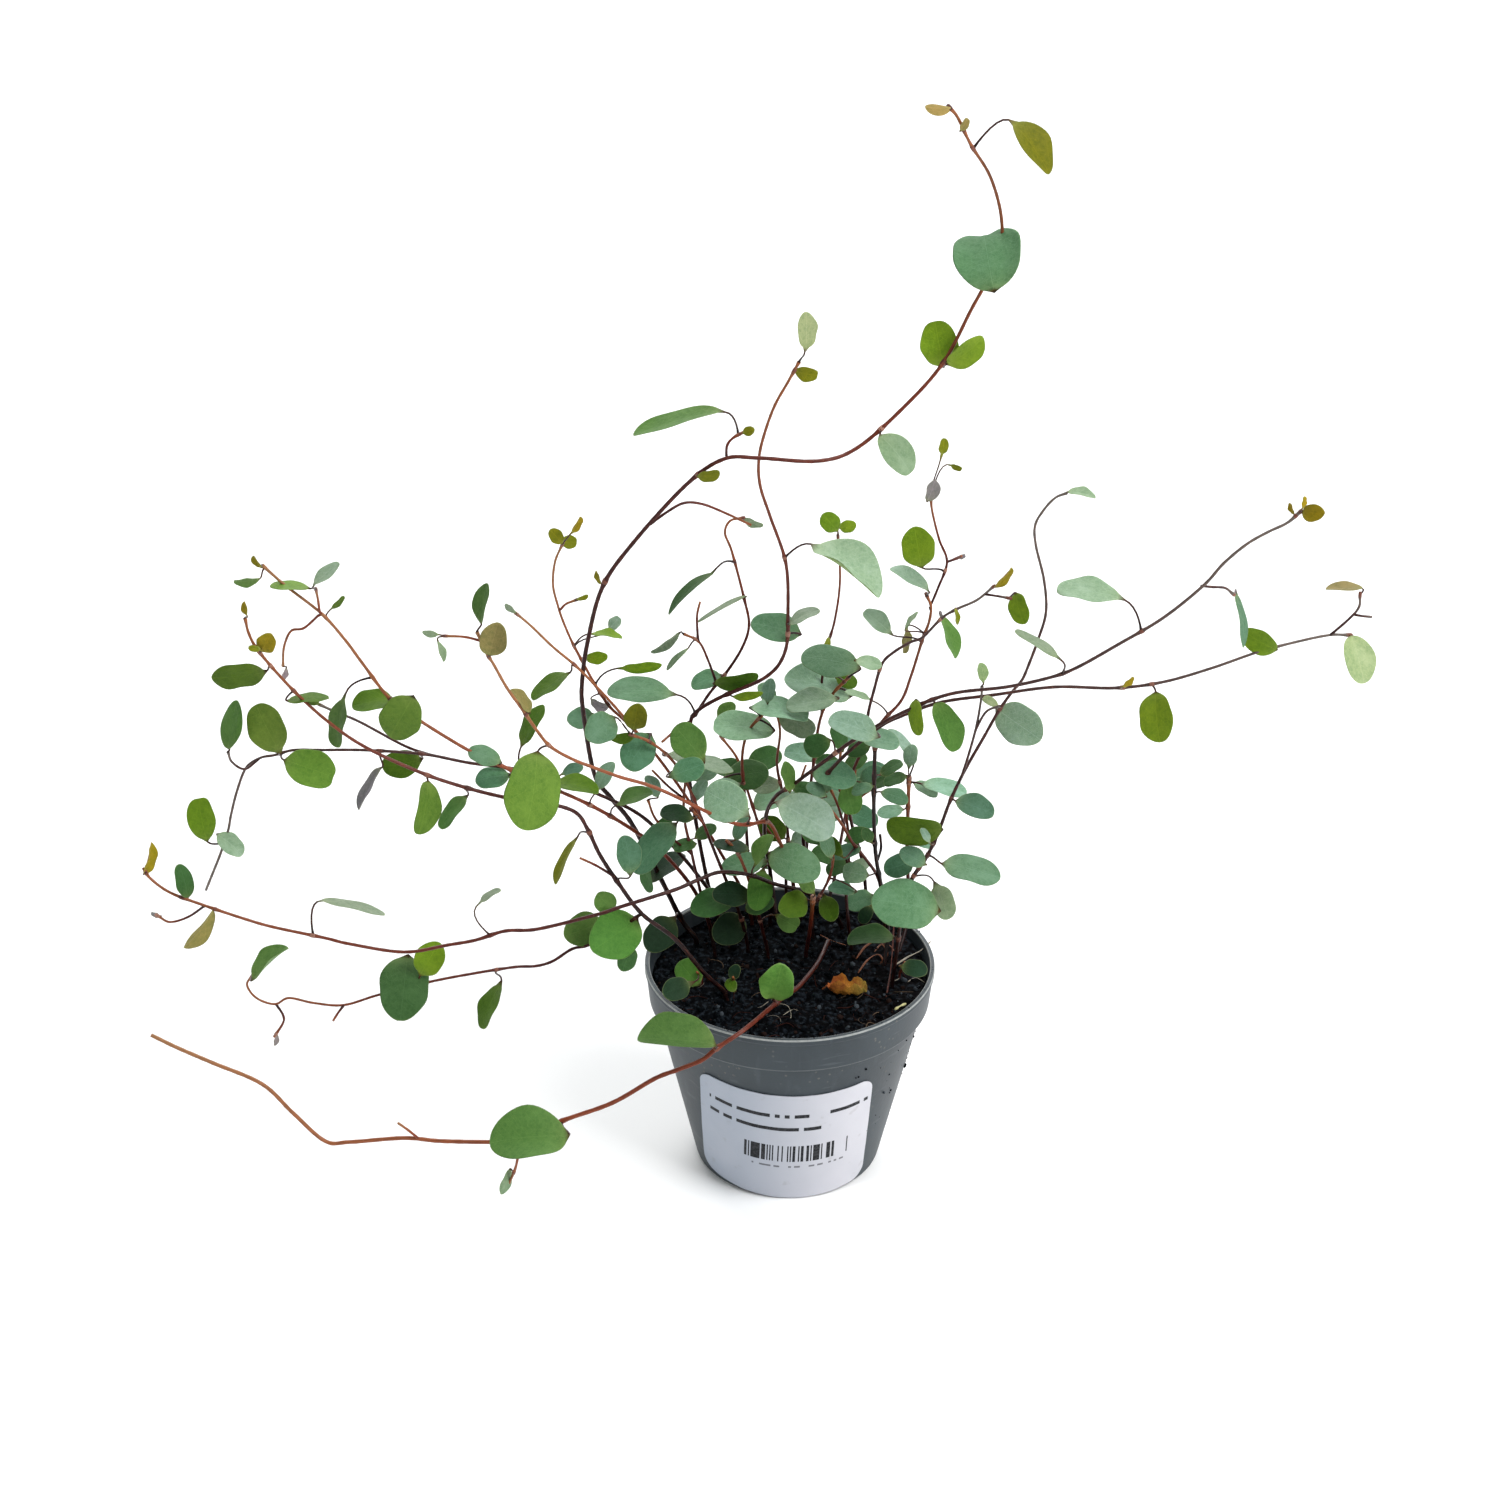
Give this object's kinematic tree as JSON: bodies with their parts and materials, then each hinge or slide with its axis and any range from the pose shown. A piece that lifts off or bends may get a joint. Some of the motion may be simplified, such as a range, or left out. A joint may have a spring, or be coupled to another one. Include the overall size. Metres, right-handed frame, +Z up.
{
  "type": "potted wire vine",
  "caption": "Wiry trailing vine with small round leaves, rooted in dark soil in a small tapered plastic nursery pot with a blank wrapped label.",
  "frame": {"origin": "centre of the pot's flat base, on the surface that the pot stands on", "axes": "+Z up along the pot's axis, -Y towards the label, +X to the right of it"},
  "size_m": [0.357, 0.1404, 0.3396],
  "materials": {
    "pot_plastic": "slate grey moulded plastic, dull, with faint scuffs",
    "label_paper": "white coated sticker, blank apart from a plain bar pattern and rules",
    "peat": null,
    "foliage": "wiry red-brown stems with small teal to olive green leaves",
    "withered_leaf": "dry curled leaf, orange brown"
  },
  "bodies": {
    "root": {"pot": "pot_plastic", "label": "label_paper", "soil": "peat", "arching_stem": "foliage", "upright_stem": "foliage", "thin_shoots_left": "foliage", "left_upper_stem": "foliage", "left_middle_stem": "foliage", "left_dark_stem": "foliage", "left_long_stem": "foliage", "over_rim_stem": "foliage", "left_tan_stem": "foliage", "right_upper_stem": "foliage", "right_lower_stem": "foliage", "right_hook_stem": "foliage", "upright_right_stem": "foliage", "vertical_stem": "foliage", "short_right_stem": "foliage", "leaning_stem": "foliage", "middle_back_stem": "foliage", "middle_right_stem": "foliage", "middle_left_stem": "foliage", "low_middle_stem": "foliage", "crown_stem": "foliage", "back_left_stem": "foliage", "back_right_stem": "foliage", "inner_left_stem": "foliage", "inner_right_stem": "foliage", "inner_back_stem": "foliage", "sprout_left": "foliage", "sprout_middle": "foliage", "sprout_right": "foliage", "dry_leaf": "withered_leaf"}
  },
  "joints": []
}
